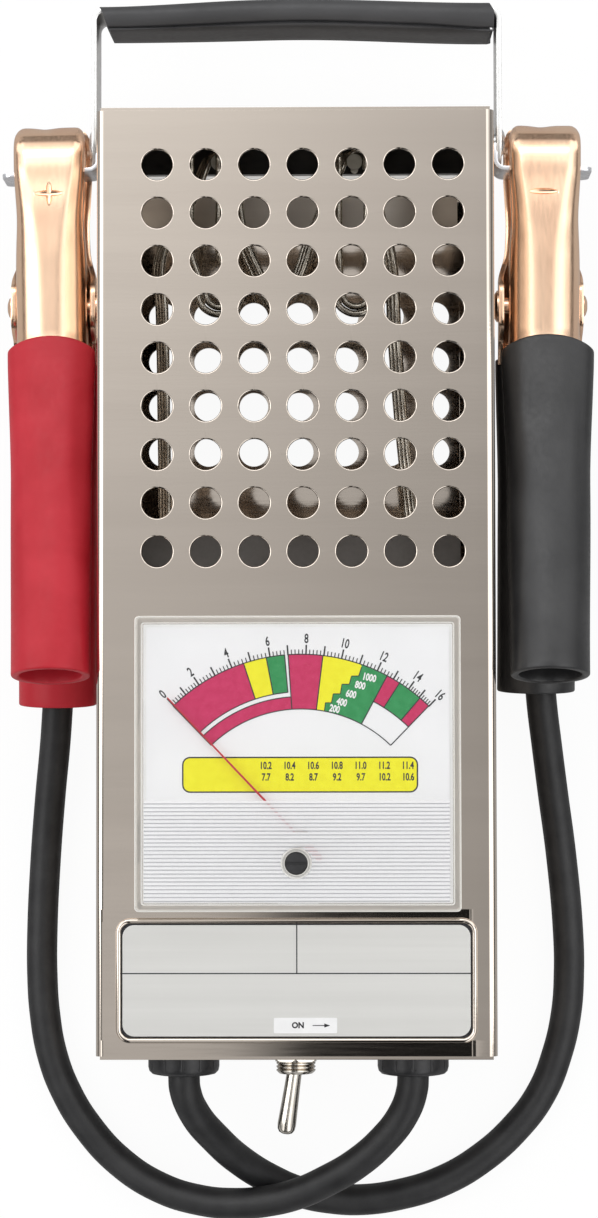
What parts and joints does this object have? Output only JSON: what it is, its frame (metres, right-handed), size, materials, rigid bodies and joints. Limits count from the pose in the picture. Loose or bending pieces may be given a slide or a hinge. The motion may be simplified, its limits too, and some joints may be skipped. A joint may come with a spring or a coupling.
{
  "type": "battery load tester",
  "caption": "Hand-held load tester: vented folded-steel housing with a needle meter, a sprung toggle, a swinging handle and two sprung clamps on rubber leads, parked on side tabs.",
  "frame": {"origin": "centre of the housing's rear panel, on its outer face", "axes": "+X to the right of the dial, +Y along the housing towards the handle, +Z out of the dial face; the tester lies on its back"},
  "size_m": [0.168, 0.3505, 0.0753],
  "materials": {
    "brushed_steel": "brushed nickel-plated sheet steel",
    "bare_steel": "plain zinc-plated steel",
    "rail_steel": "white-painted steel",
    "label_silver": "brushed silver, bare",
    "board": "dark phenolic board",
    "ceramic": "cream ceramic",
    "heating_wire": "oxidised heating wire",
    "black_plastic": "black phenolic",
    "black_rubber": "black satin",
    "grip_rubber": "dark grey, matt",
    "red_rubber": "red satin",
    "clear_plastic": "clear acrylic",
    "white_plastic": "white moulded plastic",
    "dial_white": "printed white dial",
    "pointer_red": "red painted",
    "magnet": "sintered magnet and soft iron",
    "copper": "enamelled copper wire",
    "brass": "turned brass",
    "nickel": "nickel plated",
    "strap_steel": "zinc-plated, light grey",
    "copper_plate": "copper-plated pressed steel",
    "spring_steel": "spring steel wire"
  },
  "bodies": {
    "housing": {"front_cover": "brushed_steel", "rear_cover": "brushed_steel", "cover_screws": "bare_steel", "label_plate": "label_silver", "heat_shield": "bare_steel", "load_board": "board", "board_rail": "rail_steel", "wire_hangers": "ceramic", "load_wires": "heating_wire", "hairpin_wires_left": "heating_wire", "hairpin_wires_right": "heating_wire", "terminal_block": "black_plastic", "terminal_left": "brass", "terminal_right": "brass", "terminal_screws": "bare_steel", "gland_left": "black_rubber", "gland_right": "black_rubber", "gland_nuts": "black_rubber", "inner_lead_left": "black_rubber", "inner_lead_right": "black_rubber", "jumper_lead": "black_rubber", "meter_wires": "red_rubber", "toggle_body": "black_plastic", "toggle_bushing": "nickel", "toggle_nut": "nickel", "switch_studs": "brass", "meter_cover": "clear_plastic", "meter_case": "white_plastic", "dial_plate": "dial_white", "magnet_ring": "magnet", "core_post": "magnet", "pointer_bridge": "brass", "hairspring": "brass", "meter_studs": "brass", "handle_rivets": "strap_steel", "clip_tab_left": "strap_steel", "clip_tab_right": "strap_steel", "clamp_left_rear_jaw": "copper_plate", "clamp_left_rivet": "copper_plate", "clamp_left_spring": "spring_steel", "clamp_left_rear_sleeve": "red_rubber", "clamp_right_rear_jaw": "copper_plate", "clamp_right_rivet": "copper_plate", "clamp_right_spring": "spring_steel", "clamp_right_rear_sleeve": "black_rubber", "lead_to_left_clamp": "black_rubber", "lead_to_right_clamp": "black_rubber"},
    "handle": {"handle_strap": "strap_steel", "handle_grip": "grip_rubber"},
    "toggle": {"toggle_lever": "nickel", "contact_bridge": "brass"},
    "left_clamp_front": {"clamp_left_front_jaw": "copper_plate", "clamp_left_front_sleeve": "red_rubber"},
    "right_clamp_front": {"clamp_right_front_jaw": "copper_plate", "clamp_right_front_sleeve": "black_rubber"},
    "needle": {"pointer": "pointer_red", "moving_coil": "copper"},
    "zero_adjuster": {"zero_screw": "black_plastic"}
  },
  "joints": [
    {"name": "handle_swing", "type": "hinge", "parent": "housing", "child": "handle", "pos_m": [0, 0.127, 0.034], "axis": [1, 0, 0], "range_deg": [-60, 60]},
    {"name": "toggle_throw", "type": "hinge", "parent": "housing", "child": "toggle", "pos_m": [-0.0007, -0.135, 0.034], "axis": [0, 0, 1], "range_deg": [0, 18], "stiffness_Nm_per_rad": 0.05, "springref_deg": -11.46},
    {"name": "clamp_left_open", "type": "hinge", "parent": "housing", "child": "left_clamp_front", "pos_m": [-0.0696, 0.0798, 0.034], "axis": [1, 0, 0], "range_deg": [0, 12], "stiffness_Nm_per_rad": 0.6, "springref_deg": -28.65},
    {"name": "clamp_right_open", "type": "hinge", "parent": "housing", "child": "right_clamp_front", "pos_m": [0.0696, 0.0798, 0.034], "axis": [1, 0, 0], "range_deg": [0, 12], "stiffness_Nm_per_rad": 0.6, "springref_deg": -28.65},
    {"name": "pointer_sweep", "type": "hinge", "parent": "housing", "child": "needle", "pos_m": [0.0013, -0.071, 0.0711], "axis": [0, 0, -1], "range_deg": [0, 87.4], "stiffness_Nm_per_rad": 0.0002, "springref_deg": -2.86},
    {"name": "zero_screw_turn", "type": "hinge", "parent": "housing", "child": "zero_adjuster", "pos_m": [0.0001, -0.0777, 0.075], "axis": [0, 0, 1], "range_deg": [-35, 35]}
  ]
}
